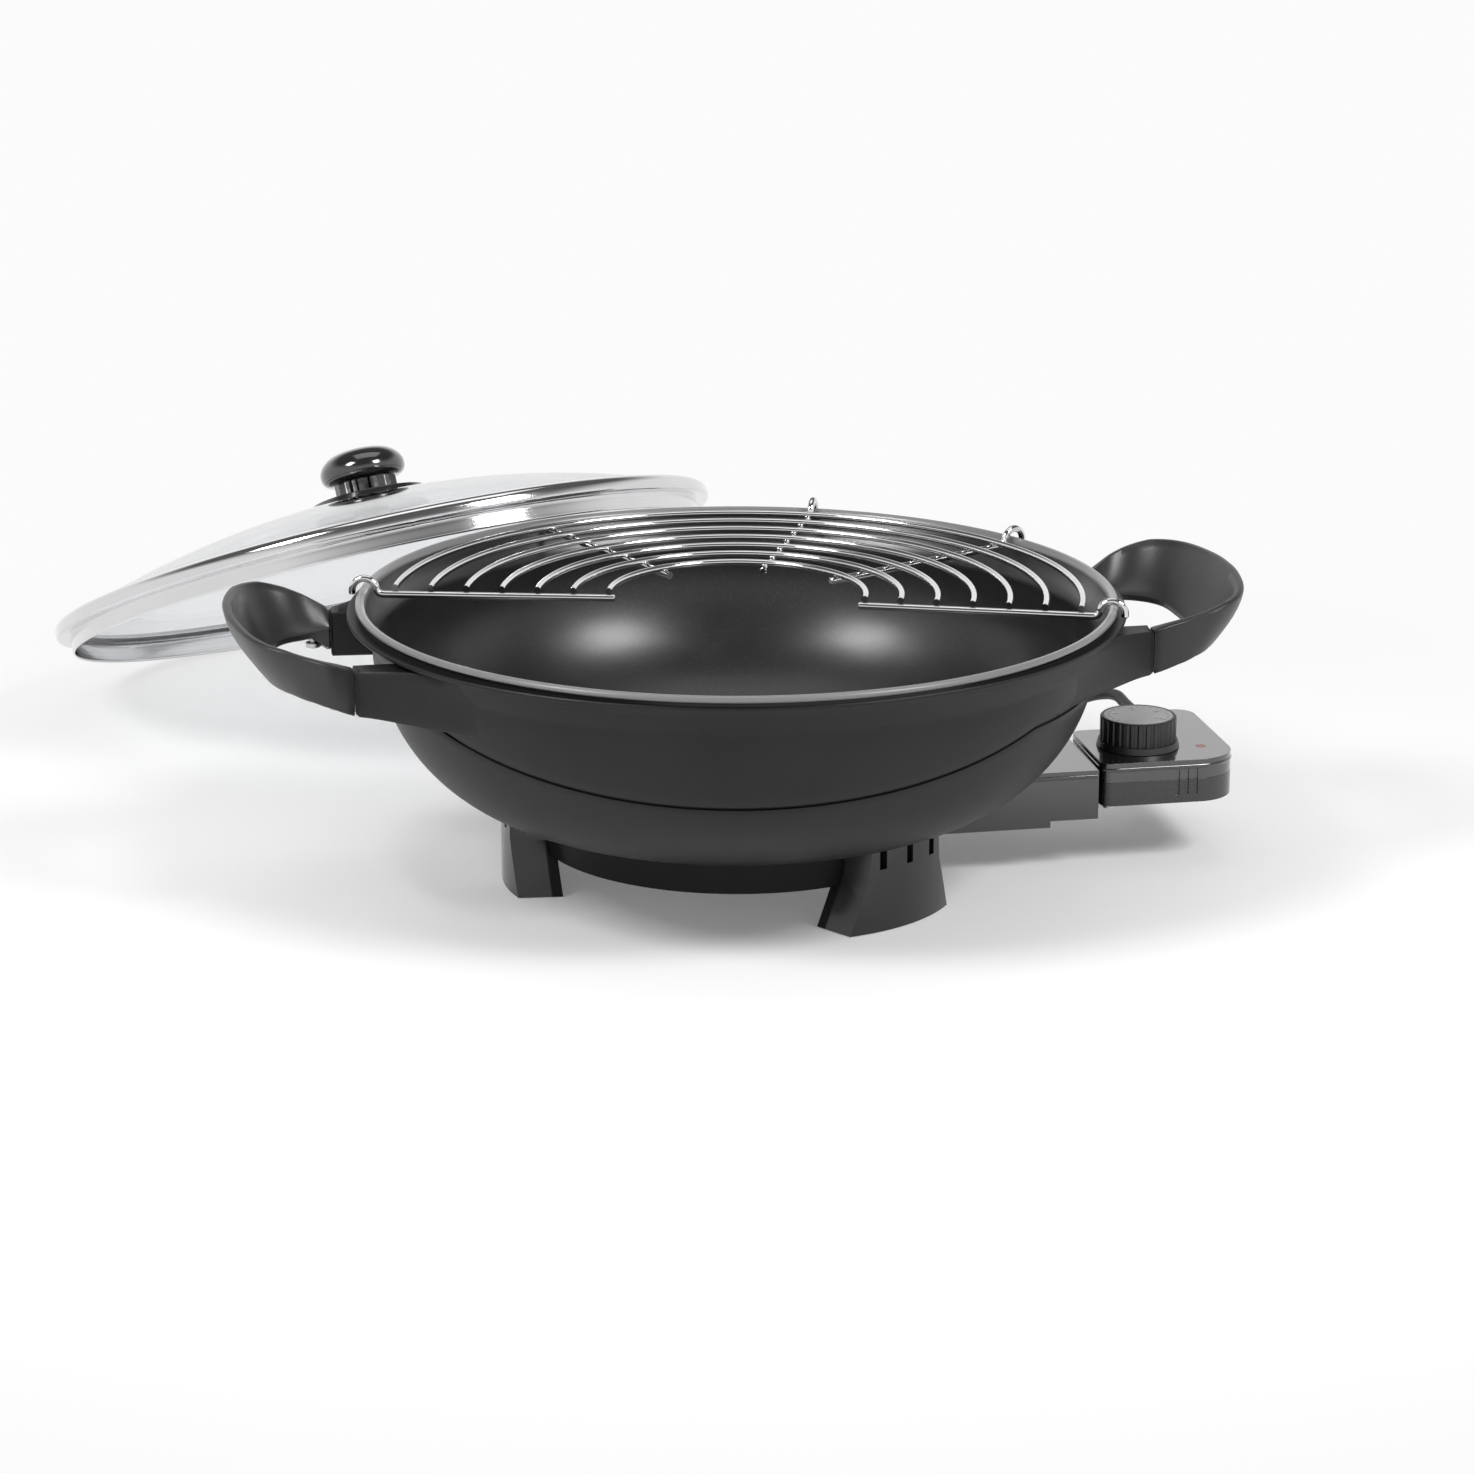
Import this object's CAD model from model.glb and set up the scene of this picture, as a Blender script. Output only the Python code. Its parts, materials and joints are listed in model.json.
# Electric wok with a drip rack, a loose glass lid and a plug-in heat control. Metres.
import json
import math

import bmesh
import bpy
import numpy as np
from mathutils import Matrix, Vector


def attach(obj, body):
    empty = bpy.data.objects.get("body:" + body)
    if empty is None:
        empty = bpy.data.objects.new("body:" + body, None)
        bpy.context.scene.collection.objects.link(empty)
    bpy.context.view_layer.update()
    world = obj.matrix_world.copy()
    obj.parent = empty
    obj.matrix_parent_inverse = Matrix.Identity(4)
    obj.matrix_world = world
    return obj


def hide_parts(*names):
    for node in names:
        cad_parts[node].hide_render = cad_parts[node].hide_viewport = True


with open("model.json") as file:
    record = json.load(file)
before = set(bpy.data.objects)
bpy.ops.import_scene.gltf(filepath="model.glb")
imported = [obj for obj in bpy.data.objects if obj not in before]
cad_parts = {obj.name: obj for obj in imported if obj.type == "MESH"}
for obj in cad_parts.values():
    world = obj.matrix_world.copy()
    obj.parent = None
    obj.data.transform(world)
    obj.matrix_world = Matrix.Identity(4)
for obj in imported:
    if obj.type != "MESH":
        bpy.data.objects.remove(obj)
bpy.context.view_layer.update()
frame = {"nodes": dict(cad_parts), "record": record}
nodes = frame["nodes"]
scene = bpy.context.scene
print("frame loaded:", len(nodes), "nodes")


def makePiece(name, points, faces, smooth=True, sharpAngle=35):
    mesh = bpy.data.meshes.new(name)
    mesh.from_pydata(np.asarray(points, float).reshape(-1, 3).tolist(), [], faces)
    shell = bmesh.new()
    shell.from_mesh(mesh)
    bmesh.ops.remove_doubles(shell, verts=shell.verts, dist=1e-7)
    bmesh.ops.recalc_face_normals(shell, faces=shell.faces)
    shell.to_mesh(mesh)
    shell.free()
    mesh.polygons.foreach_set("use_smooth", np.full(len(mesh.polygons), smooth))
    if smooth and sharpAngle:
        mesh.set_sharp_from_angle(angle=math.radians(sharpAngle))
    piece = bpy.data.objects.new(name, mesh)
    scene.collection.objects.link(piece)
    return piece


def gridFaces(rows, cols, wrapRows=False, wrapCols=False):
    # each quad joins a point to its neighbours in the next row and the next column
    a, b = np.meshgrid(np.arange(rows - (not wrapRows)), np.arange(cols - (not wrapCols)), indexing="ij")
    c, d = (a + 1) % rows, (b + 1) % cols
    return np.stack([a * cols + b, c * cols + b, c * cols + d, a * cols + d], -1).reshape(-1, 4).tolist()


def smoothPath(knots, steps):
    # Catmull-Rom curve: each stretch is a cubic whose slope at a knot is half the line from its neighbours
    p = np.asarray(knots, float)
    p = np.vstack([2 * p[0] - p[1], p, 2 * p[-1] - p[-2]])
    t = np.linspace(0, 1, steps, endpoint=False)[None, :, None]
    a, b, c, d = (p[i:len(p) - 3 + i, None, :] for i in range(4))
    q = 0.5 * (2 * b + (c - a) * t + (2 * a - 5 * b + 4 * c - d) * t ** 2 + (3 * b - a - 3 * c + d) * t ** 3)
    return np.vstack([q.reshape(-1, p.shape[1]), p[-2]])


def evenly(path, count):
    # the same curve again, with its points at equal steps of length along it
    run = np.concatenate([[0], np.cumsum(np.linalg.norm(np.diff(path, axis=0), axis=1))])
    at = np.linspace(0, run[-1], count)
    return np.stack([np.interp(at, run, axis) for axis in path.T], 1)


def smoothStep(value, low, high):
    # 0 below low, 1 above high, and 3t^2 - 2t^3 between them
    t = np.clip((value - low) / (high - low), 0, 1)
    return t * t * (3 - 2 * t)


def loft(rings):
    # skin over rings of points (rings, around, 3), closed with a flat face at each end
    n, m = rings.shape[:2]
    ends = [np.arange(m)[::-1].tolist(), ((n - 1) * m + np.arange(m)).tolist()]
    return rings.reshape(-1, 3), gridFaces(n, m, wrapCols=True) + ends


def shells(name, parts, smooth=True, sharpAngle=35):
    # several skins in one piece: the points follow each other, and the faces count on from there
    starts = np.cumsum([0] + [len(points) for points, faces in parts])
    faces = [(np.asarray(face) + start).tolist()
             for (points, block), start in zip(parts, starts) for face in block]
    return makePiece(name, np.vstack([points for points, block in parts]), faces, smooth, sharpAngle)


def tubeAlong(name, path, radius, sides=12):
    return makePiece(name, *tubeGrid(path, radius, sides))


def tubeGrid(path, radius, sides=12, up=(0, 0, 1)):
    # rings at right angles to the path: point + radius x (cosine x sideways + sine x upwards), closed ends
    path = np.asarray(path, float)
    radius = np.broadcast_to(radius, len(path))[:, None, None]
    along = np.gradient(path, axis=0)
    along /= np.linalg.norm(along, axis=1)[:, None]
    side = np.cross(along, np.asarray(up, float))
    side /= np.linalg.norm(side, axis=1)[:, None]
    top = np.cross(side, along)
    turn = np.linspace(0, 2 * np.pi, sides, endpoint=False)[None, :, None]
    rings = path[:, None] + radius * (np.cos(turn) * side[:, None] + np.sin(turn) * top[:, None])
    n = len(path)
    points = np.vstack([rings.reshape(-1, 3), path[:1], path[-1:]])
    k = np.arange(sides)
    ends = [np.stack([k * 0 + n * sides, (k + 1) % sides, k], 1),
            np.stack([k * 0 + n * sides + 1, (n - 1) * sides + k, (n - 1) * sides + (k + 1) % sides], 1)]
    return points, gridFaces(n, sides, wrapCols=True) + ends[0].tolist() + ends[1].tolist()


def turnedGrid(profile, steps=128):
    # a closed profile of (distance from the axis, height) carried round the Z axis
    profile = np.asarray(profile, float)
    a = np.linspace(0, 2 * np.pi, steps, endpoint=False)[:, None]
    points = np.stack([profile[:, 0] * np.cos(a), profile[:, 0] * np.sin(a), profile[:, 1] + 0 * a], -1)
    return points.reshape(-1, 3), gridFaces(steps, len(profile), True, True)


def softEdges(name, node, width=0.0006, segments=2, angle=32):
    # a merged copy of a CAD node with its sharp edges rounded
    mesh = nodes[node].data.copy()
    shell = bmesh.new()
    shell.from_mesh(mesh)
    bmesh.ops.remove_doubles(shell, verts=shell.verts, dist=2e-6)
    bmesh.ops.dissolve_degenerate(shell, edges=shell.edges, dist=2e-6)
    bmesh.ops.dissolve_limit(shell, angle_limit=math.radians(0.5), verts=shell.verts, edges=shell.edges)
    bmesh.ops.recalc_face_normals(shell, faces=shell.faces)
    shell.to_mesh(mesh)
    shell.free()
    if "custom_normal" in mesh.attributes:
        mesh.attributes.remove(mesh.attributes["custom_normal"])
    mesh.polygons.foreach_set("use_smooth", np.full(len(mesh.polygons), True))
    mesh.set_sharp_from_angle(angle=math.radians(angle))
    piece = bpy.data.objects.new(name, mesh)
    scene.collection.objects.link(piece)
    bevel = piece.modifiers.new("edges", "BEVEL")
    bevel.width, bevel.segments, bevel.limit_method = width, segments, "ANGLE"
    bevel.angle_limit, bevel.harden_normals = math.radians(angle), True
    bevel.use_clamp_overlap = True
    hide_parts(node)
    return piece


# camera at the photograph's angle
camera = {"distance": 2.1, "elevation": 16.4, "azimuth": 11.0, "target": (0.0, 0.0, 0.068), "lens": 105.66}


def makeCamera(c):
    e, a = math.radians(c["elevation"]), math.radians(c["azimuth"])
    back = Vector((-math.sin(a) * math.cos(e), -math.cos(a) * math.cos(e), math.sin(e)))
    data = bpy.data.cameras.new("camera")
    data.lens, data.sensor_width = c["lens"], 36
    data.clip_start, data.clip_end = 0.05, 60
    view = bpy.data.objects.new("camera", data)
    view.location = Vector(c["target"]) + back * c["distance"]
    view.rotation_euler = (-back).to_track_quat("-Z", "Y").to_euler()
    scene.collection.objects.link(view)
    scene.camera = view


makeCamera(camera)

# diameter in metres, the rest in millimetres; two turns of the coil go in on the table, two come out on top
cord = {"diameter": 0.006, "outlet": (226, 88, 43), "centre": (112, 275), "radius": 41, "pitch": 6.8,
        "windings": 4.5, "lie": 3.05, "layer": 6.6, "climbFrom": 2.0, "climb": 0.5, "plug": (71, 217, 18)}


def cordRoute(c):
    # outlet, fall to the table, a flat coil whose radius shrinks by a pitch each turn, and a lead to the plug
    fall = np.array([[0, -4, 0], [0, 8, 0], [0, 20, 0], [0, 32, 0], [-2, 44, -2], [-7, 56, -6],
                     [-14, 67, -12], [-23, 77, -18], [-33, 87, -25], [-43, 97, -31], [-53, 107, -36],
                     [-61, 118, -39]]) + np.array(c["outlet"], float)
    run = np.array([[159, 218], [155, 231], [153.5, 244], [153, 256], [153, 269]])
    run = np.column_stack([run, np.full(len(run), c["lie"])])
    t = np.arange(0, 24 * c["windings"] + 1) / 24
    radius = c["radius"] - c["pitch"] * np.where(t < c["windings"] / 2, t, c["windings"] - t)
    height = c["lie"] + np.clip((t - c["climbFrom"]) / c["climb"], 0, 1) * c["layer"]
    turns = np.stack([c["centre"][0] + radius * np.cos(2 * np.pi * t),
                      c["centre"][1] + radius * np.sin(2 * np.pi * t), height], 1)
    lead = np.vstack([turns[-1] + [[0, -9, 0.6], [0, -17, 2.4], [0, -25, 5.2], [0, -33, 7.6]],
                      np.array(c["plug"]) + [[0, 18, 0], [0, 10, 0]]])
    return smoothPath(np.vstack([fall, run, turns, lead]) / 1000, 4)


route = cordRoute(cord)
cordPiece = tubeAlong("mainsLead", route, cord["diameter"] / 2)


def makeGroup(name, inputs, outputs):
    group = bpy.data.node_groups.new(name, "ShaderNodeTree")
    for label, kind, value in inputs:
        socket = group.interface.new_socket(label, in_out="INPUT", socket_type=kind)
        socket.default_value = value
    for label, kind in outputs:
        group.interface.new_socket(label, in_out="OUTPUT", socket_type=kind)
    return group, group.nodes.new("NodeGroupInput"), group.nodes.new("NodeGroupOutput")


def addNode(tree, kind, links=(), **values):
    node = tree.nodes.new(kind)
    for key, value in values.items():
        setattr(node, key, value)
    for socket, source in dict(links).items():
        target = node.inputs[socket]
        if isinstance(source, bpy.types.NodeSocket):
            tree.links.new(source, target)
        else:
            target.default_value = source
    return node


def calc(tree, operation, a, b=0.0, c=0.0):
    return addNode(tree, "ShaderNodeMath", {0: a, 1: b, 2: c}, operation=operation).outputs[0]


def ramp(tree, value, low, high, toLow=0.0, toHigh=1.0, smooth=True):
    node = addNode(tree, "ShaderNodeMapRange", {"Value": value, "From Min": low, "From Max": high,
                                                "To Min": toLow, "To Max": toHigh},
                   interpolation_type="SMOOTHSTEP" if smooth else "LINEAR")
    return node.outputs[0]


def noise(tree, place, scale, detail, roughness=0.5):
    links = {"Vector": place, "Scale": scale, "Detail": detail, "Roughness": roughness}
    return addNode(tree, "ShaderNodeTexNoise", links).outputs["Fac"]


def objectPlace(tree):
    return addNode(tree, "ShaderNodeTexCoord").outputs["Object"]


def grainGroup():
    # moulded or cast skin: two sizes of noise give a height, a roughness that wanders and a slow tone
    group, start, end = makeGroup("skinGrain", [
        ("Size", "NodeSocketFloat", 900.0), ("Smear", "NodeSocketFloat", 12.0),
        ("Rough Low", "NodeSocketFloat", 0.3), ("Rough High", "NodeSocketFloat", 0.4)],
        [("Height", "NodeSocketFloat"), ("Roughness", "NodeSocketFloat"), ("Tone", "NodeSocketFloat")])
    place = objectPlace(group)
    fine = noise(group, place, start.outputs["Size"], 3.0, 0.6)
    slow = noise(group, place, start.outputs["Smear"], 5.0, 0.55)
    both = calc(group, "MULTIPLY_ADD", fine, 0.35, calc(group, "MULTIPLY", slow, 0.65))
    rough = addNode(group, "ShaderNodeMapRange", {"Value": both, "From Min": 0.35, "From Max": 0.65,
                                                  "To Min": start.outputs["Rough Low"],
                                                  "To Max": start.outputs["Rough High"]})
    group.links.new(fine, end.inputs["Height"])
    group.links.new(rough.outputs[0], end.inputs["Roughness"])
    group.links.new(slow, end.inputs["Tone"])
    return group


def speckGroup():
    # speckled coating: small cells, of which only the brightest show, and a faint pebble height
    group, start, end = makeGroup("coatSpeck", [
        ("Size", "NodeSocketFloat", 700.0), ("Share", "NodeSocketFloat", 0.2)],
        [("Speck", "NodeSocketFloat"), ("Height", "NodeSocketFloat")])
    place = objectPlace(group)
    cells = addNode(group, "ShaderNodeTexVoronoi", {"Vector": place, "Scale": start.outputs["Size"]})
    pick = addNode(group, "ShaderNodeSeparateColor", {"Color": cells.outputs["Color"]}).outputs[0]
    near = ramp(group, cells.outputs["Distance"], 0.5, 0.2)
    chosen = calc(group, "GREATER_THAN", pick, calc(group, "SUBTRACT", 1.0, start.outputs["Share"]))
    group.links.new(calc(group, "MULTIPLY", near, chosen), end.inputs["Speck"])
    group.links.new(noise(group, place, start.outputs["Size"], 2.0), end.inputs["Height"])
    return group


skinGrain = grainGroup()
coatSpeck = speckGroup()


def blendColour(tree, mask, a, b):
    node = addNode(tree, "ShaderNodeMix", {0: mask}, data_type="RGBA")
    for socket, value in ((node.inputs[6], a), (node.inputs[7], b)):
        if isinstance(value, bpy.types.NodeSocket):
            tree.links.new(value, socket)
        else:
            socket.default_value = (*value, 1) if len(value) == 3 else value
    return node.outputs[2]


def startMaterial(name, **plain):
    material = bpy.data.materials.new(name)
    material.use_nodes = True
    shader = material.node_tree.nodes["Principled BSDF"]
    for key, value in plain.items():
        shader.inputs[{"specular": "Specular IOR Level", "transmission": "Transmission Weight", "ior": "IOR",
                       "metallic": "Metallic", "coat": "Coat Weight",
                       "coatRough": "Coat Roughness"}[key]].default_value = value
    return material, material.node_tree, shader


def placeGrain(tree, size, smear, rough):
    grain = addNode(tree, "ShaderNodeGroup", node_tree=skinGrain)
    for label, value in (("Size", size), ("Smear", smear), ("Rough Low", rough[0]), ("Rough High", rough[1])):
        grain.inputs[label].default_value = value
    return grain.outputs["Height"], grain.outputs["Roughness"], grain.outputs["Tone"]


def toneBlend(tree, tone, dark, light):
    return blendColour(tree, ramp(tree, tone, 0.35, 0.65), dark, light)


def bumpFrom(tree, shader, height, distance):
    bump = addNode(tree, "ShaderNodeBump", {"Height": height, "Strength": 1.0, "Distance": distance})
    tree.links.new(bump.outputs[0], shader.inputs["Normal"])


def skinMaterial(name, dark, light, rough=(0.35, 0.45), size=900.0, smear=12.0, bump=0.00003, **plain):
    # plastic, rubber or metal: colour wanders between two tones, with grain in roughness and height
    material, tree, shader = startMaterial(name, **plain)
    height, roughness, tone = placeGrain(tree, size, smear, rough)
    tree.links.new(toneBlend(tree, tone, dark, light), shader.inputs["Base Color"])
    tree.links.new(roughness, shader.inputs["Roughness"])
    bumpFrom(tree, shader, height, bump)
    return material


def aboutAxis(tree, place):
    # distance from the Z axis and height of a point on the piece
    x, y, z = addNode(tree, "ShaderNodeSeparateXYZ", {0: place}).outputs
    return calc(tree, "SQRT", calc(tree, "MULTIPLY_ADD", x, x, calc(tree, "MULTIPLY", y, y))), z


# metres: where the wall's arc is centred, how far from there the inside ends, and where the lip begins
coating = {"flatRadius": 0.09, "curveHeight": 0.12, "flare": (0.122, 0.14, 0.0825, 0.0908), "above": 0.0375,
           "lipHeight": (0.1366, 0.1374), "lipRadius": (0.1776, 0.1784), "lipColour": (0.17, 0.17, 0.172),
           "outer": ((0.011, 0.011, 0.0115), (0.015, 0.015, 0.0155)),
           "inner": ((0.009, 0.009, 0.0095), (0.02, 0.02, 0.021)), "speckSize": 620.0, "speckShare": 0.3,
           "rough": (0.38, 0.48), "innerRough": -0.06, "lipRough": -0.12, "lipCoat": 0.5}


def panMaterial(c):
    # the inside is the side nearer the axis than the middle of the wall; the lip is the crest of the rim
    material, tree, shader = startMaterial("coatedAluminium", specular=0.22, coatRough=0.3)
    r, z = aboutAxis(tree, objectPlace(tree))
    out = calc(tree, "MAXIMUM", calc(tree, "SUBTRACT", r, c["flatRadius"]), 0.0)
    below = calc(tree, "MINIMUM", calc(tree, "SUBTRACT", z, c["curveHeight"]), 0.0)
    d = calc(tree, "SQRT", calc(tree, "MULTIPLY_ADD", out, out, calc(tree, "MULTIPLY", below, below)))
    inside = calc(tree, "MULTIPLY", calc(tree, "LESS_THAN", d, ramp(tree, z, *c["flare"], smooth=False)),
                  calc(tree, "GREATER_THAN", z, c["above"]))
    lip = calc(tree, "MULTIPLY", ramp(tree, z, *c["lipHeight"]), ramp(tree, r, *c["lipRadius"]))
    height, roughness, tone = placeGrain(tree, 1400.0, 9.0, c["rough"])
    speck = addNode(tree, "ShaderNodeGroup", node_tree=coatSpeck)
    speck.inputs["Size"].default_value = c["speckSize"]
    speck.inputs["Share"].default_value = c["speckShare"]
    colour = blendColour(tree, inside, toneBlend(tree, tone, *c["outer"]),
                         blendColour(tree, speck.outputs["Speck"], *c["inner"]))
    tree.links.new(blendColour(tree, lip, colour, c["lipColour"]), shader.inputs["Base Color"])
    coat = calc(tree, "MAXIMUM", inside, calc(tree, "MULTIPLY", lip, c["lipCoat"]))
    tree.links.new(coat, shader.inputs["Coat Weight"])
    rough = calc(tree, "MULTIPLY_ADD", inside, c["innerRough"], roughness)
    tree.links.new(calc(tree, "MULTIPLY_ADD", lip, c["lipRough"], rough), shader.inputs["Roughness"])
    pebble = calc(tree, "MULTIPLY", speck.outputs["Height"], calc(tree, "MULTIPLY", inside, 2.0))
    bumpFrom(tree, shader, calc(tree, "ADD", height, pebble), 0.00003)
    return material


def brushedMaterial(name, colour, rough, centre=(0, 0, 0), tilt=(0, 0, 0), lines=2600.0):
    # polished metal with fine lines round an axis: noise of the distance from that axis
    material, tree, shader = startMaterial(name, metallic=1.0)
    place = objectPlace(tree)
    moved = addNode(tree, "ShaderNodeMapping", {"Vector": place, "Location": centre, "Rotation": tilt},
                    vector_type="TEXTURE").outputs[0]
    r, z = aboutAxis(tree, moved)
    fine = noise(tree, addNode(tree, "ShaderNodeCombineXYZ", {0: r, 1: z}).outputs[0], lines, 2.0)
    smear = noise(tree, place, 14.0, 4.0)
    shade = calc(tree, "MULTIPLY_ADD", fine, 0.6, calc(tree, "MULTIPLY", smear, 0.4))
    low = tuple(v * 0.86 for v in colour)
    tree.links.new(toneBlend(tree, shade, low, colour), shader.inputs["Base Color"])
    tree.links.new(ramp(tree, shade, 0.3, 0.7, rough * 0.7, rough * 1.4), shader.inputs["Roughness"])
    bumpFrom(tree, shader, fine, 0.000006)
    return material


def baseMaterial():
    # the ring under the pan is dull; the legs, outside it, are glossy
    material, tree, shader = startMaterial("baseBlack", specular=0.15, coatRough=0.16)
    r, z = aboutAxis(tree, objectPlace(tree))
    legs = ramp(tree, r, 0.0975, 0.0985)
    height, roughness, tone = placeGrain(tree, 1100.0, 14.0, (0.3, 0.42))
    moulded = toneBlend(tree, tone, (0.010, 0.010, 0.0105), (0.015, 0.015, 0.0155))
    tree.links.new(blendColour(tree, legs, (0.003, 0.003, 0.003), moulded), shader.inputs["Base Color"])
    tree.links.new(roughness, shader.inputs["Roughness"])
    tree.links.new(calc(tree, "MULTIPLY", legs, 0.9), shader.inputs["Coat Weight"])
    bumpFrom(tree, shader, height, 0.000015)
    return material


def glassMaterial():
    # clear tempered glass with a faint film that softens a few patches
    material, tree, shader = startMaterial("clearGlass", transmission=1.0, ior=1.46)
    film = noise(tree, objectPlace(tree), 9.0, 6.0)
    tree.links.new(ramp(tree, film, 0.45, 0.75, 0.0, 0.05), shader.inputs["Roughness"])
    tint = blendColour(tree, film, (0.83, 0.85, 0.87), (0.88, 0.895, 0.91))
    tree.links.new(tint, shader.inputs["Base Color"])
    return material


# millimetres; the lid leans from table to rim, so the sine of its tilt is the rise over the insert's width
lidLean = {"turn": 113.0, "rise": 140.3, "rim": 180.7, "insert": 175.0, "depth": 10.3, "lift": 0.02}
lidTurn = math.radians(lidLean["turn"])
lidTilt = math.asin(lidLean["rise"] / (2 * lidLean["insert"]))
lidOut = lidLean["rim"] + lidLean["insert"] * math.cos(lidTilt) + lidLean["depth"] * math.sin(lidTilt)
lidHeight = lidLean["insert"] * math.sin(lidTilt) + lidLean["depth"] * math.cos(lidTilt) + lidLean["lift"]
lidCentre = np.array([lidOut * math.cos(lidTurn), lidOut * math.sin(lidTurn), lidHeight]) / 1000
lidMatrix = (Matrix.Translation(Vector(lidCentre)) @ Matrix.Rotation(lidTurn, 4, "Z")
             @ Matrix.Rotation(lidTilt, 4, "Y"))

finish = {
    "coated_aluminium": panMaterial(coating),
    "black_plastic": skinMaterial("blackPhenolic", (0.016, 0.016, 0.0165), (0.023, 0.023, 0.0235),
                                  (0.34, 0.42), 1100.0, 14.0, 0.00003),
    "gloss_black": skinMaterial("glossBlack", (0.009, 0.009, 0.0095), (0.012, 0.012, 0.0125),
                                (0.12, 0.2), 500.0, 8.0, 0.000006, coat=1.0, coatRough=0.08, specular=0.7),
    "base_black": baseMaterial(),
    "moulded_black": skinMaterial("mouldedBlack", (0.010, 0.010, 0.0105), (0.015, 0.015, 0.0155),
                                  (0.2, 0.3), 1100.0, 14.0, 0.000015, coat=0.5, coatRough=0.15),
    "steel": skinMaterial("plainSteel", (0.42, 0.42, 0.43), (0.55, 0.55, 0.56), (0.25, 0.38), 1500.0, 40.0,
                          0.00001, metallic=1.0),
    "bright_steel": brushedMaterial("brightSteel", (0.74, 0.74, 0.75), 0.1, tuple(lidCentre),
                                    tuple(lidMatrix.to_euler())),
    "chrome_wire": skinMaterial("chromeWire", (0.70, 0.70, 0.71), (0.78, 0.78, 0.79), (0.05, 0.12), 600.0,
                                25.0, 0.000005, metallic=1.0),
    "aluminium": skinMaterial("plainAluminium", (0.45, 0.45, 0.46), (0.58, 0.58, 0.59), (0.32, 0.5), 900.0,
                              30.0, 0.00002, metallic=1.0),
    "element_sheath": skinMaterial("elementSheath", (0.16, 0.12, 0.09), (0.3, 0.25, 0.2), (0.38, 0.55), 700.0,
                                   60.0, 0.00003, metallic=1.0),
    "ceramic": skinMaterial("ceramic", (0.68, 0.65, 0.58), (0.78, 0.75, 0.69), (0.2, 0.35), 900.0, 60.0,
                            0.00002),
    "brass": skinMaterial("brass", (0.5, 0.36, 0.14), (0.62, 0.47, 0.21), (0.25, 0.4), 900.0, 60.0, 0.00001,
                          metallic=1.0),
    "lid_glass": glassMaterial(),
    "red_lens": skinMaterial("redLens", (0.32, 0.02, 0.015), (0.42, 0.04, 0.03), (0.08, 0.14), 900.0, 80.0,
                             0.000005, transmission=0.4),
    "silver_print": skinMaterial("silverFace", (0.33, 0.33, 0.335), (0.40, 0.40, 0.405), (0.3, 0.4), 1500.0,
                                 60.0, 0.00001),
    "black_rubber": skinMaterial("blackRubber", (0.014, 0.014, 0.0145), (0.02, 0.02, 0.0205), (0.42, 0.55),
                                 1600.0, 30.0, 0.00003),
}
slotOf = {s["node"]: s["material_slot"] for s in frame["record"]["subparts"]}


def dress(piece, slot, look=None):
    piece.data.materials.clear()
    piece.data.materials.append(finish[look or slot])
    return piece


for name, node in nodes.items():
    for place in node.material_slots:
        place.material = finish[slotOf[name]]
print("finishes made:", len(finish))

plugPiece = dress(softEdges("soft_mains_plug", "mains_plug", 0.0008), slotOf["mains_plug"], "black_rubber")
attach(plugPiece, "control")
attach(dress(cordPiece, "black_rubber"), "control")
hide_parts("mains_cord", "cord_coil")

# millimetres; the wall is an arc about (flatRadius, curveHeight), with the collar proud of it above a groove;
# edge is (distance along the wall from the collar's edge, mm proud), ledge is (distance from ledgeRadius,
# height), and flare, lip, rib and boss are (distance from the axis, height)
pan = {"steps": 288, "flatRadius": 90.0, "curve": 84.0, "curveHeight": 120.0, "bottom": 36.0, "wall": 3.5,
       "collarStep": 1.4, "collarLow": 84.0, "collarSweep": 0.00736, "collarTop": 104.6,
       "collarFront": -101.0,
       "edge": [(-2.8, 0.0), (-2.5, -0.2), (-2.35, -1.1), (0.0, -1.1), (0.15, 0.5), (0.5, 0.9), (3.0, 1.25),
                (6.0, 1.4)],
       "flare": [(175.9, 121.5), (177.3, 125.0), (178.6, 128.6), (179.7, 131.2)],
       "ledge": [(-0.8, 132.3), (-0.2, 132.9), (0.0, 133.6), (-0.2, 134.3), (-0.5, 134.7)],
       "ledgeRadius": 181.3, "crescent": 9.0, "crescentFrom": 3.0,
       "lip": [(180.6, 134.6), (180.5, 135.6), (180.9, 136.4), (182.2, 137.1), (182.95, 137.8),
               (182.95, 138.6), (182.6, 139.3), (181.9, 139.8), (180.9, 140.0), (179.9, 139.85),
               (179.1, 139.3), (178.6, 138.4), (178.2, 137.2), (177.5, 134.6), (175.4, 131.0),
               (173.2, 127.4), (171.4, 124.2), (170.7, 122.0)],
       "rib": [(62, 36.4), (62, 31.4), (76, 31.4), (76, 36.4)],
       "boss": [(2.1, 36.2), (2.1, 20.6), (4.5, 20.6), (4.5, 36.2)], "bossRadius": 45,
       "bossTurns": (30, 150, 270)}


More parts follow.
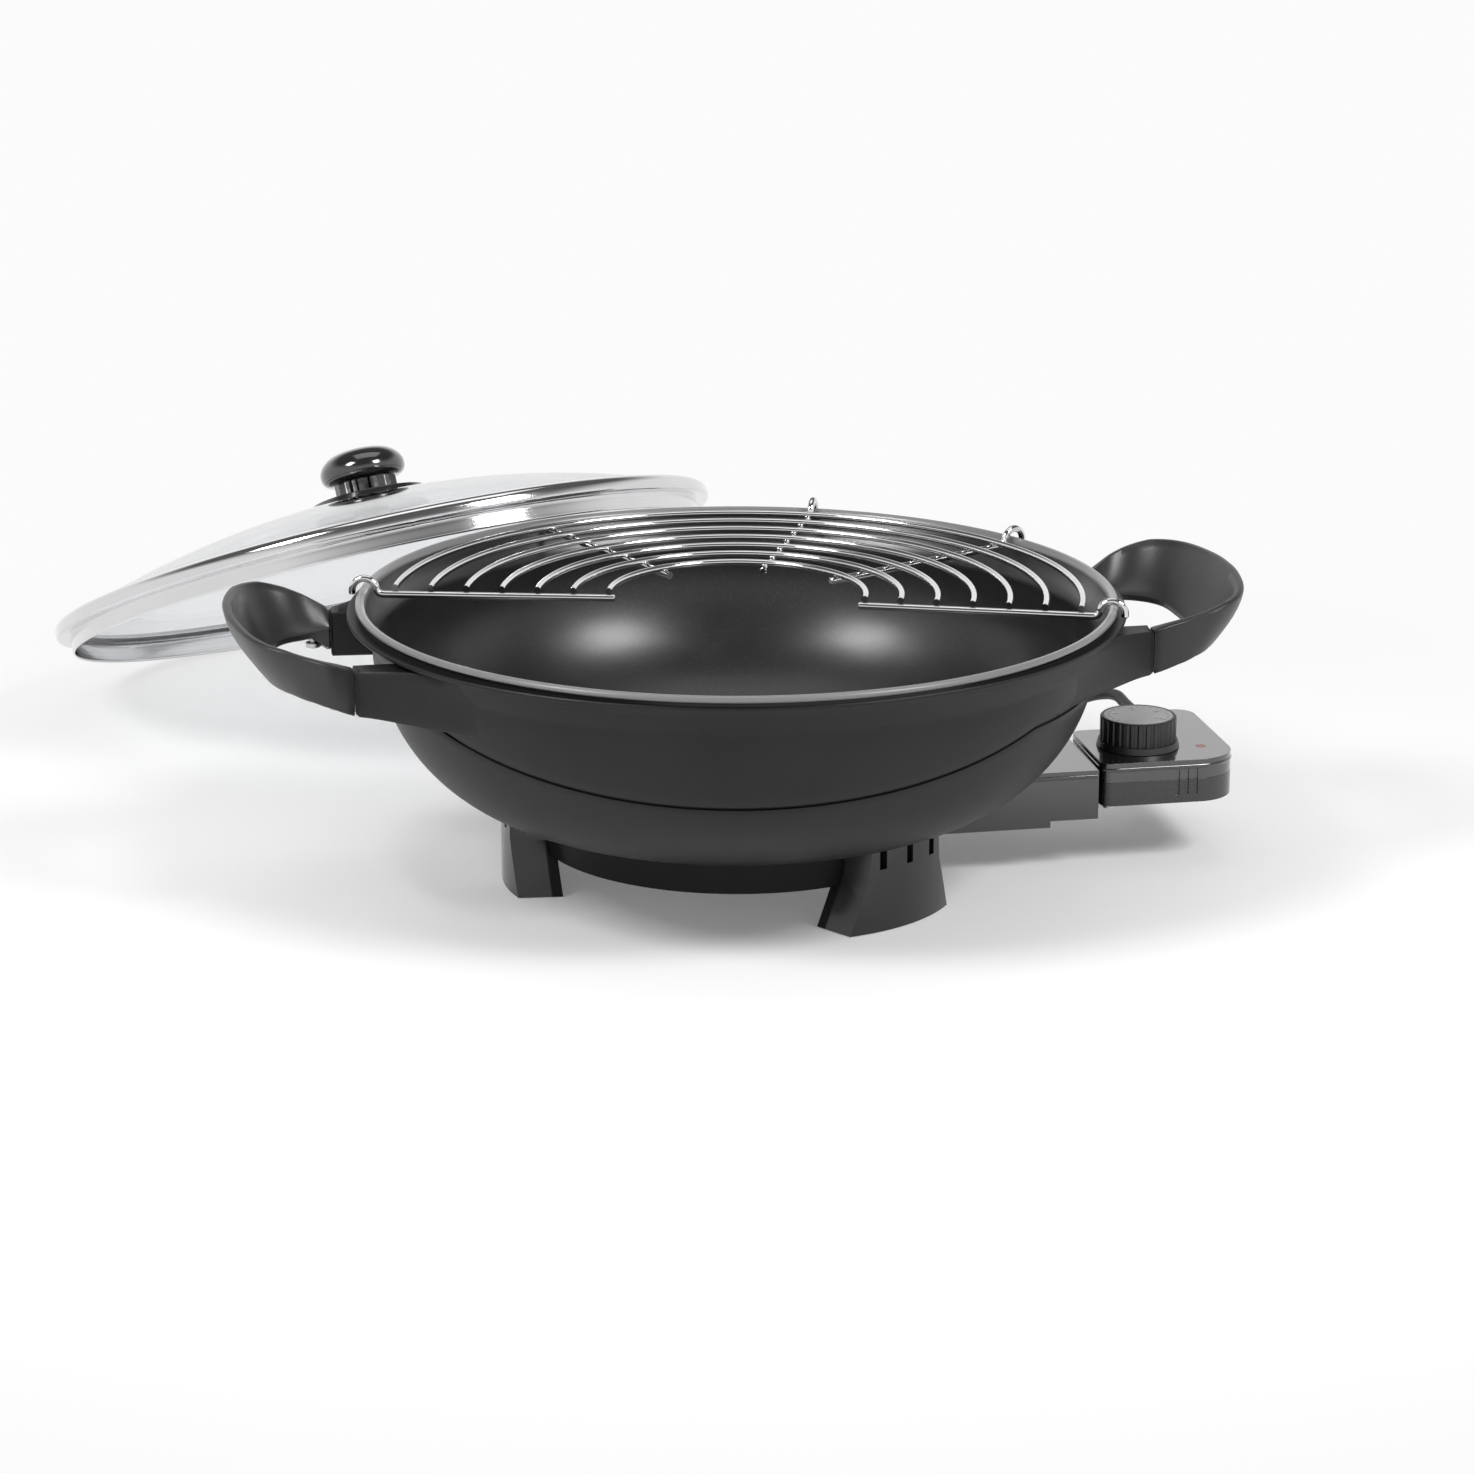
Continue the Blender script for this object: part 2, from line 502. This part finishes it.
def panSkin(p):
    # point = radius x (cosine, sine), height; outside from the pole up, over groove, collar, ledge and lip,
    # then down the inside
    turn = np.linspace(0, 2 * np.pi, p["steps"], endpoint=False)[:, None]
    flare, ledge, lip = (np.array(p[k]) for k in ("flare", "ledge", "lip"))
    off = np.abs((np.degrees(turn) - p["collarFront"] + 90) % 180 - 90)
    edge = np.minimum(p["collarLow"] + p["collarSweep"] * off ** 2, p["collarTop"])
    start = np.arccos((p["curveHeight"] - edge) / p["curve"])
    along, proud = np.array(p["edge"]).T
    along = start + along[None] / p["curve"]
    low = along[:, :1] * np.linspace(0, 1, 30)[None, :-1]
    rest = along[:, -1:] + (np.pi / 2 - along[:, -1:]) * np.linspace(0, 1, 13)[None, 1:]
    arc = np.hstack([low, along, rest])
    out = np.hstack([0 * low, proud + 0 * along, 0 * rest + p["collarStep"]])
    wallR = p["flatRadius"] + (p["curve"] + out) * np.sin(arc)
    wallZ = p["curveHeight"] - (p["curve"] + out) * np.cos(arc)
    wider = np.maximum(0, p["crescent"] * np.abs(np.cos(turn)) - p["crescentFrom"])  # towards the handles
    inner = p["curve"] - p["wall"]
    arcIn = np.linspace(np.pi / 2, 0, 34)
    inR = np.concatenate([lip[:, 0], p["flatRadius"] + inner * np.sin(arcIn), [60.0, 30.0, 0.0]])
    inZ = np.concatenate([lip[:, 1], p["curveHeight"] - inner * np.cos(arcIn), [p["bottom"] + p["wall"]] * 3])
    flat = 0 * turn
    ledgeR = p["ledgeRadius"] + wider + ledge[:, 0]
    r = np.hstack([flat, flat + 45, wallR, flat + flare[:, 0], ledgeR, flat + inR])
    z = np.hstack([flat + p["bottom"], flat + p["bottom"], wallZ, flat + flare[:, 1], flat + ledge[:, 1],
                   flat + inZ])
    points = np.stack([r * np.cos(turn), r * np.sin(turn), z], -1) / 1000
    return points.reshape(-1, 3), gridFaces(p["steps"], r.shape[1], wrapRows=True)


# millimetres; outer is the face in plan, inner the side's distance from the X axis, collar (height, distance
# from the axis) where the face ends, and shares and insets run up the face
arm = {"outer": [(190.95, 60.4), (176.0, 66.5), (150.0, 95.5), (131.5, 118.4)], "steps": 34,
       "inner": 48.2, "meetsWall": 166.5, "wallRadius": 173.3, "straight": 0.42,
       "bottom": 105.6, "sag": 0.9, "top": 127.3, "crest": 131.2, "riseBy": 0.6, "edge": 0.8,
       "edgeDrop": 0.7, "closing": 0.07, "shares": [0.0, 0.035, 0.2, 0.4, 0.6, 0.8, 0.965, 1.0],
       "insets": [0.8, 0, 0, 0, 0, 0, 0, 0.7],
       "collar": [(104.0, 173.55), (112.0, 174.55), (120.0, 175.05), (125.5, 176.95), (131.5, 179.25)],
       "collarRadius": 177.0, "collarFrom": 0.25}


def armSkin(c, sx, sy):
    # outer face on a cubic curve that ends in the collar; inner side straight, then inside the pan's wall
    t = np.linspace(0, 1, c["steps"])[:, None]
    a, b, d, e = np.array(c["outer"])
    outer = a * (1 - t) ** 3 + 3 * b * t * (1 - t) ** 2 + 3 * d * t ** 2 * (1 - t) + e * t ** 3
    angle = np.arctan2(outer[:, 1], outer[:, 0])
    flat = a[0] - (a[0] - c["meetsWall"]) * smoothStep(t[:, 0], 0, c["straight"])
    wallFrom = np.arctan2(c["inner"], c["meetsWall"])
    wallShare = np.clip((t[:, 0] - c["straight"]) / (1 - c["straight"]), 0, 1)
    wallAngle = wallFrom + (angle[-1] - wallFrom) * wallShare
    inner = np.where(t < c["straight"], np.stack([flat, 0 * flat + c["inner"]], 1),
                     c["wallRadius"] * np.stack([np.cos(wallAngle), np.sin(wallAngle)], 1))
    rise = smoothStep(t, 0.0, c["riseBy"])
    top = c["top"] + (c["crest"] - c["top"]) * rise
    low = c["bottom"] - c["sag"] * rise
    z = low + (top - low) * np.array(c["shares"])[None]
    collar = np.interp(z, *np.array(c["collar"]).T)
    r = np.linalg.norm(outer, axis=1)[:, None]
    r = r + (collar - c["collarRadius"]) * smoothStep(t, c["collarFrom"], 1.0) - np.array(c["insets"])[None]
    wall = np.stack([r * np.cos(angle)[:, None], r * np.sin(angle)[:, None], z], -1)
    level = 0 * top[:, 0] + c["top"]
    back = np.stack([np.stack([inner[:, 0], inner[:, 1] + lift, height], 1) for lift, height in (
        (c["edge"], level), (0.0, level - c["edgeDrop"]), (0.0, low[:, 0] + c["edgeDrop"]),
        (c["edge"], low[:, 0]))], 1)
    rings = np.concatenate([wall, back], 1)
    start = rings[:1] + (rings[:1].mean(1, keepdims=True) - rings[:1]) * c["closing"]
    rings[:1, :, 0] -= c["edge"]
    return loft(np.concatenate([start, rings], 0) * (sx, sy, 1) / 1000)


def makePan(p, c):
    # bowl, four arms, the rib that holds the element, and the bosses for the shield's screws
    parts = [panSkin(p), turnedGrid(np.array(p["rib"]) / 1000, 96)]
    parts += [armSkin(c, sx, sy) for sx in (1, -1) for sy in (1, -1)]
    for a in np.radians(p["bossTurns"]):
        points, faces = turnedGrid(np.array(p["boss"]) / 1000, 24)
        parts.append((points + np.array([math.cos(a), math.sin(a), 0]) * p["bossRadius"] / 1000, faces))
    return shells("wokPan", parts, sharpAngle=40)


panPiece = dress(makePan(pan, arm), "coated_aluminium")
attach(panPiece, "wok")
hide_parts("pan")
print("pan made")

# millimetres: knots of the outer and inner outline from the seam round to the tip, heights by distance along
# the X axis (at), then shares up the outer wall and how strongly wall, dish and underside curve
handle = {"outer": [(191.35, 60.4), (198, 64.0), (207, 68.4), (217, 69.2), (226, 65.6), (233.0, 58.6),
                    (238.4, 48.5), (242.2, 35), (244.8, 20), (245.8, 10), (246.0, 0)],
          "inner": [(191.35, 48.2), (199, 47.9), (206, 46.2), (212, 42.6), (217, 37), (220.4, 30),
                    (221.8, 22), (222.2, 11), (222.4, 0)],
          "at": [191.35, 195, 203, 212, 225, 246], "rim": [127.4, 129.2, 133.0, 136.4, 140.6, 144.2],
          "low": [106.0, 107.6, 111.4, 114.4, 116.6, 117.0],
          "hole": [119.5, 119.2, 118.0, 117.4, 117.6, 118.0],
          "band": [8.6, 7.2, 5.4, 4.6, 4.0, 4.0], "lean": 16.0, "leanBy": 243.0, "steps": 121,
          "wallShares": [1.0, 0.97, 0.88, 0.75, 0.6, 0.45, 0.3, 0.15, 0.04], "wallBend": 1.6,
          "crestIn": [0.0, 0.35, 1.2], "crestUp": [-0.7, -0.25, 0.0, 0.0, -0.35], "dishBend": 1.55,
          "holeEdge": (0.7, 2.4), "underIn": 1.4, "underBend": 1.3, "closing": 0.045}


def mirroredPath(knots, count):
    half = np.array(knots, float)
    return evenly(smoothPath(np.vstack([half * (1, -1), half[-2::-1]]), 8), count)


def handleSkin(h, side):
    # each ring goes up the leaning outer wall, over the rim, down the dish to the hole, and back underneath
    outer, inner = mirroredPath(h["outer"], h["steps"]), mirroredPath(h["inner"], h["steps"])
    at = outer[:, :1]
    rim, low, hole, band = (np.interp(at, h["at"], h[k]) for k in ("rim", "low", "hole", "band"))
    seam = h["at"][0]
    lean = h["lean"] * smoothStep(at, seam, h["leanBy"])
    across = inner - outer
    width = np.linalg.norm(across, axis=1)[:, None]
    f = np.array(h["wallShares"])[None]
    wallIn, wallZ = lean * f ** h["wallBend"], rim - 0.9 - (rim - 0.9 - low) * f
    wallIn[:, :1] += 0.7
    crestIn = np.hstack([np.array(h["crestIn"]) + 0 * band, band - 1.0, band])
    crestZ = rim + np.array(h["crestUp"])
    w = np.linspace(0, 1, 13)[1:][None]
    dishIn = band + (width - band) * w
    dishZ = hole + (rim - 0.6 - hole) * (1 - w) ** h["dishBend"]
    under = np.linspace(0, 1, 8)[None, :-1]
    holeIn, holeZ = np.hstack([width, width]), np.hstack([hole - edge for edge in h["holeEdge"]])
    floorLow = np.minimum(hole - 3.0, low + 3)
    underIn = (width - 0.7) + (lean + h["underIn"] - width + 0.7) * under
    underZ = floorLow + (low - floorLow) * under ** h["underBend"]
    depth = np.hstack([wallIn, crestIn, dishIn, holeIn, underIn]) / width
    height = np.hstack([wallZ, crestZ, dishZ, holeZ, underZ])
    flat = outer[:, None] + across[:, None] * depth[:, :, None]
    rings = np.concatenate([flat, height[:, :, None]], 2)
    ends = [ring + (ring.mean(1, keepdims=True) - ring) * h["closing"] for ring in (rings[:1], rings[-1:])]
    rings[[0, -1], :, 0] += 0.5
    for end in ends:
        end[..., 0] = seam
    return loft(np.concatenate([ends[0], rings, ends[1]]) * (side, 1, 1) / 1000)


for side, name in ((1, "handle_right"), (-1, "handle_left")):
    piece = dress(makePiece("grip_" + name, *handleSkin(handle, side), sharpAngle=45), "black_plastic")
    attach(piece, "wok")
    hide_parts(name)
print("handles made")

# millimetres: wires run straight under the arcs, then in a round hook over the lip; straight and plain are
# distances from the axis, with and without a hook, and bend is (distance from the axis, rise)
rack = {"turns": (-21.0, 28.29, 66.42, 165.0), "plainTurn": 113.0, "wire": 3.6, "start": 59.0,
        "height": 136.5, "hookCentre": (180.7, 138.2), "hookRadius": 6.0, "end": 136.4,
        "step": 5.5, "straight": (110, 150, 168), "bend": [(171.6, 0.05), (173.6, 0.7)],
        "plain": (120, 168, 174.4)}


def spokeWire(c, turn, hook):
    # (distance from the axis, height): a straight run, a small bend up, half a circle and a short drop
    first, level = (c["start"], c["start"] + c["step"]), c["height"]
    if hook:
        a = np.radians(np.linspace(172, 0, 14))[:, None]
        arc = np.array(c["hookCentre"]) + c["hookRadius"] * np.hstack([np.cos(a), np.sin(a)])
        line = np.vstack([[(x, level) for x in (*first, *c["straight"])],
                          [(x, level + rise) for x, rise in c["bend"]],
                          arc, [(c["hookCentre"][0] + c["hookRadius"], c["end"])]])
    else:
        line = np.array([(x, level) for x in (*first, *c["plain"])])
    line = smoothPath(line, 3)
    path = np.stack([line[:, 0] * math.cos(turn), line[:, 0] * math.sin(turn), line[:, 1]], 1) / 1000
    radius = np.full(len(path), c["wire"] / 2000)
    radius[[0, -1]] *= 0.75
    return tubeGrid(path, radius, 14, up=(-math.sin(turn), math.cos(turn), 0))


spokes = shells("rackSpokes", [spokeWire(rack, math.radians(a), True) for a in rack["turns"]]
                + [spokeWire(rack, math.radians(rack["plainTurn"]), False)])
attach(dress(spokes, "chrome_wire"), "rack")
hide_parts("rack_spokes")
print("rack made")

softened = {"base_ring": ("wok", 0.0007, "base_black"), "socket_guard": ("wok", 0.0008, "gloss_black"),
            "case_lower": ("control", 0.0009, "moulded_black"),
            "case_upper": ("control", 0.0018, "gloss_black"),
            "knob_flange": ("lid", 0.0006, "gloss_black"), "knob_pillars": ("lid", 0.0005, "gloss_black")}
for name, (body, width, look) in softened.items():
    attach(dress(softEdges("soft_" + name, name, width), slotOf[name], look), body)
print("edges softened:", len(softened))

# raised beads below the top edges: corner points (x, y, radius of the corner) in millimetres
bead = {"radius": 1.3, "sunk": 0.75, "caseHeight": 49.3, "guardHeight": 46.9,
        "case": [(176, 24, 0), (176, -30, 5), (246, -30, 20), (246, 28, 0)],
        "guard": [(131, -30, 0), (173.2, -30, 0)]}


def roundedPath(corners, height, inset):
    # straight runs joined by quarter circles, drawn inside the outline by the inset
    path = []
    for i, (x, y, r) in enumerate(corners):
        if not r:
            path.append((x, y))
            continue
        (px, py, _), (nx, ny, _) = corners[i - 1], corners[i + 1]
        a, b = np.array([np.sign(px - x), np.sign(py - y)]), np.array([np.sign(nx - x), np.sign(ny - y)])
        turn = np.linspace(0, np.pi / 2, 9)[:, None]
        path += (np.array([x, y]) + r * (a + b) - r * (b * np.cos(turn) + a * np.sin(turn))).tolist()
    path = np.array(path, float)
    side = np.gradient(path, axis=0)
    side = np.stack([-side[:, 1], side[:, 0]], 1) / np.linalg.norm(side, axis=1)[:, None]
    return evenly(np.column_stack([path + side * inset, 0 * path[:, 0] + height]), 60) / 1000


for name, corners, height, body in (("caseBead", bead["case"], bead["caseHeight"], "control"),
                                    ("guardBead", bead["guard"], bead["guardHeight"], "wok")):
    strip = tubeAlong(name, roundedPath(corners, height, bead["sunk"]), bead["radius"] / 1000, 14)
    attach(dress(strip, "black_plastic", "gloss_black"), body)
print("beads made")

# printed marks on the dial's face, a hair above it
dial = {"centre": (0.202, 0.0, 0.06816), "numbers": "12345", "numberAt": 0.0108, "numberSize": 0.0058,
        "tickAt": (0.0139, 0.0156), "tickWidth": 0.0005, "ticks": 21, "longEvery": 5,
        "spread": 270, "thick": 0.00012}


def numberMesh(text, size, thick):
    # a numeral as a mesh, centred on the origin
    curve = bpy.data.curves.new("numeral", "FONT")
    curve.body, curve.size, curve.extrude = text, size, thick / 2
    curve.align_x, curve.align_y, curve.resolution_u = "CENTER", "CENTER", 4
    made = bpy.data.objects.new("numeral", curve)
    scene.collection.objects.link(made)
    bpy.context.view_layer.update()
    flat = bpy.data.meshes.new_from_object(made.evaluated_get(bpy.context.evaluated_depsgraph_get()))
    points = np.zeros(len(flat.vertices) * 3)
    flat.vertices.foreach_get("co", points)
    faces = [list(face.vertices) for face in flat.polygons]
    bpy.data.objects.remove(made)
    bpy.data.curves.remove(curve)
    bpy.data.meshes.remove(flat)
    return points.reshape(-1, 3), faces


def turnAbout(points, angle):
    c, s = math.cos(angle), math.sin(angle)
    return np.asarray(points) @ np.array([[c, s, 0], [-s, c, 0], [0, 0, 1]])


def dialMarks(c):
    # numerals and ticks spread round the face, each drawn at the top and turned to its place
    angles = np.radians(c["spread"] / 2 - c["spread"] * np.linspace(0, 1, c["ticks"]))
    low, high = c["tickAt"]
    t = c["thick"] / 2
    parts = []
    for i, angle in enumerate(angles):
        w = c["tickWidth"] * (0.5 if i % c["longEvery"] else 0.8)
        near = low - (0 if i % c["longEvery"] else 0.0004)
        points, faces = loft(np.array([[(-w, near, z), (w, near, z), (w, high, z), (-w, high, z)]
                                       for z in (-t, t)]))
        parts.append((turnAbout(points, angle), faces))
    for text, angle in zip(c["numbers"], angles[::c["longEvery"]]):
        points, faces = numberMesh(text, c["numberSize"], c["thick"])
        parts.append((turnAbout(points + [0, c["numberAt"], 0], angle), faces))
    return [(points + np.array(c["centre"]), faces) for points, faces in parts]


marks = shells("dialMarks", dialMarks(dial), smooth=False)
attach(dress(marks, "black_plastic", "gloss_black"), "dial")
print("dial marked")

# screw heads under the handles, in the tray's underside
screw = {"x": 199.1, "y": 55.5, "z": 108.6,
         "profile": [(0, 0.9), (1.3, 0.9), (1.5, 0.05), (2.2, 0.0), (3.2, 0.25), (3.7, 0.8), (3.7, 2.6),
                     (2.0, 2.6), (1.5, 2.6), (1.5, 8.0), (0, 8.0)]}


def screwHead(c, sx, sy):
    # domed disc with a raised rim round a hexagonal socket's dip
    points, faces = turnedGrid((np.array(c["profile"]) + (0, c["z"])) / 1000, 36)
    return points + [sx * c["x"] / 1000, sy * c["y"] / 1000, 0], faces


screws = shells("gripScrews", [screwHead(screw, sx, sy) for sx in (1, -1) for sy in (1, -1)])
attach(dress(screws, "steel"), "wok")
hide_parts("handle_screws")

# lid: heights are along its own axis, from the plane where the band sits on the pan
lid = {"glass": (175.2, 33.0, 5.5, 4.0), "knobBase": 49.5,
       "band": [(173.9, -9.9), (174.3, -10.1), (174.7, -9.9), (175.0, -9.3), (175.0, -8.3), (175.0, -4.5),
                (175.0, -2.4), (175.6, -1.6), (180.0, -1.6), (181.2, -1.2), (181.9, -0.2), (182.0, 1.4),
                (181.8, 3.6), (181.2, 5.0), (180.2, 6.0), (178.8, 6.7), (176.0, 7.3), (172.5, 8.2),
                (171.6, 8.0), (171.5, 7.6), (174.0, 6.0), (174.2, 1.0), (173.6, -1.0), (173.6, -4.5),
                (173.6, -8.3), (173.65, -9.3)],
       "cap": [(3.1, 0.4), (3.1, 10.0), (0.0, 10.0), (0.0, 18.6), (6.0, 18.4), (12.0, 17.5), (17.0, 15.7),
               (20.6, 13.0), (22.8, 9.8), (23.5, 6.8), (23.2, 4.0), (21.9, 1.8), (19.6, 0.4), (16.0, 0.0),
               (8.0, 0.2)]}


def onLid(grid):
    points, faces = grid
    spin = np.array(lidMatrix)
    return points @ spin[:3, :3].T + spin[:3, 3], faces


def glassDome(c):
    # sphere cap of radius R through edge and crown: height = rise + lift - R + square root of (R^2 - r^2)
    edge, rise, lift, thick = c
    radius = (edge ** 2 + rise ** 2) / (2 * rise)
    r = np.concatenate([np.linspace(4.0, 100, 14)[:-1], np.linspace(100, edge - 0.8, 16)])
    top = rise + lift - radius + np.sqrt(radius ** 2 - r ** 2)
    under = rise + lift - radius + np.sqrt((radius - thick) ** 2 - r[::-1] ** 2)
    rim = [(edge - 0.2, top[-1] - 0.9), (edge - 0.2, under[0] + 0.9)]
    return np.vstack([np.stack([r, top], 1), rim, np.stack([r[::-1], under], 1)]) / 1000


def smoothLoop(knots, steps):
    # Catmull-Rom curve through a closed ring of knots
    knots = np.array(knots, float)
    path = smoothPath(np.vstack([knots[-2:], knots, knots[:3]]), steps)
    return path[2 * steps:(2 + len(knots)) * steps]


glass = makePiece("lidGlass", *onLid(turnedGrid(glassDome(lid["glass"]), 192)), sharpAngle=50)
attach(dress(glass, "lid_glass"), "lid")
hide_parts("lid_glass")
band = makePiece("lidBand", *onLid(turnedGrid(smoothLoop(lid["band"], 3) / 1000, 256)), sharpAngle=50)
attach(dress(band, "bright_steel"), "lid")
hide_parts("lid_band")
cap = np.array(lid["cap"]) + (0, lid["knobBase"])
cap = np.vstack([cap[:3], smoothPath(cap[3:], 4)]) / 1000
knob = makePiece("lidKnob", *onLid(turnedGrid(cap, 96)), sharpAngle=40)
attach(dress(knob, "gloss_black"), "lid")
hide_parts("knob_cap")
print("lid made")


# floor colour, background, fill light, what gloss sees at the horizon and overhead (sheenBand is where one
# turns into the other), and the distances in metres over which the lit floor fades into the background
studio = {"floor": 0.86, "far": 0.965, "ambient": 0.34, "sheen": 0.96, "overhead": 0.12, "near": 0.16,
          "sheenBand": (0.26, 0.6), "fade": (0.18, 0.75), "glossFade": (0.25, 0.75), "aim": (0, 0, 0.06)}


def makeFloor(s):
    # pale floor: lit near the object, and plain pale far from it, where the lamps no longer reach
    bpy.ops.mesh.primitive_plane_add(size=40, location=(0, 0, -0.0003))
    floor = bpy.context.object
    floor.name = "floor"
    material, tree, shader = startMaterial("paleFloor")
    shader.inputs["Base Color"].default_value = (s["floor"], s["floor"], s["floor"], 1)
    shader.inputs["Roughness"].default_value = 0.6
    shader.inputs["Specular IOR Level"].default_value = 0.2
    far = addNode(tree, "ShaderNodeVectorMath", {0: objectPlace(tree)}, operation="LENGTH").outputs["Value"]
    path = addNode(tree, "ShaderNodeLightPath")
    direct = calc(tree, "MAXIMUM", path.outputs["Is Camera Ray"], path.outputs["Is Transmission Ray"])
    mask = calc(tree, "MULTIPLY", ramp(tree, far, *s["fade"], s["near"], 1.0), direct)
    mirrored = calc(tree, "MULTIPLY", ramp(tree, far, *s["glossFade"]), path.outputs["Is Glossy Ray"])
    glow = addNode(tree, "ShaderNodeEmission", {"Color": (s["far"], s["far"], s["far"], 1), "Strength": 1.0})
    mix = addNode(tree, "ShaderNodeMixShader", {0: calc(tree, "MAXIMUM", mask, mirrored),
                                                1: shader.outputs[0], 2: glow.outputs[0]})
    tree.links.new(mix.outputs[0], tree.nodes["Material Output"].inputs["Surface"])
    floor.data.materials.append(material)


def makeWorld(s):
    world = bpy.data.worlds.new("studio")
    world.use_nodes = True
    scene.world = world
    tree = world.node_tree
    tree.nodes.clear()
    path = addNode(tree, "ShaderNodeLightPath")
    seen = calc(tree, "MAXIMUM", path.outputs["Is Camera Ray"], path.outputs["Is Transmission Ray"])
    look = addNode(tree, "ShaderNodeTexCoord").outputs["Generated"]
    up = addNode(tree, "ShaderNodeSeparateXYZ", {0: look}).outputs[2]
    shine = ramp(tree, up, *s["sheenBand"], s["sheen"], s["overhead"])  # pale at the horizon, dark higher up
    strength = blendValue(tree, path.outputs["Is Glossy Ray"], s["ambient"], shine)
    strength = blendValue(tree, seen, strength, s["far"])
    back = addNode(tree, "ShaderNodeBackground", {"Color": (1, 1, 1, 1), "Strength": strength})
    out = addNode(tree, "ShaderNodeOutputWorld", {0: back.outputs[0]})
    out.is_active_output = True


def blendValue(tree, mask, a, b):
    node = addNode(tree, "ShaderNodeMix", {0: mask, 2: a, 3: b}, data_type="FLOAT")
    return node.outputs[0]


lamps = {  # place, width, height and power
    "rightSoftbox": ((0.82, -0.85, 1.2), 0.5, 0.5, 18.0),
    "leftSoftbox": ((-1.12, -0.42, 1.2), 0.5, 0.5, 18.0),
    "topSoftbox": ((0.0, 0.5, 2.1), 1.6, 1.2, 8.0),
}


def makeLamps(s):
    for name, (place, width, height, power) in lamps.items():
        data = bpy.data.lights.new(name, "AREA")
        data.shape, data.size, data.size_y, data.energy = "RECTANGLE", width, height, power
        lamp = bpy.data.objects.new(name, data)
        lamp.location = place
        lamp.rotation_euler = (Vector(s["aim"]) - Vector(place)).to_track_quat("-Z", "Y").to_euler()
        scene.collection.objects.link(lamp)


makeFloor(studio)
makeWorld(studio)
makeLamps(studio)
scene.view_settings.view_transform = "Standard"
print("studio made")
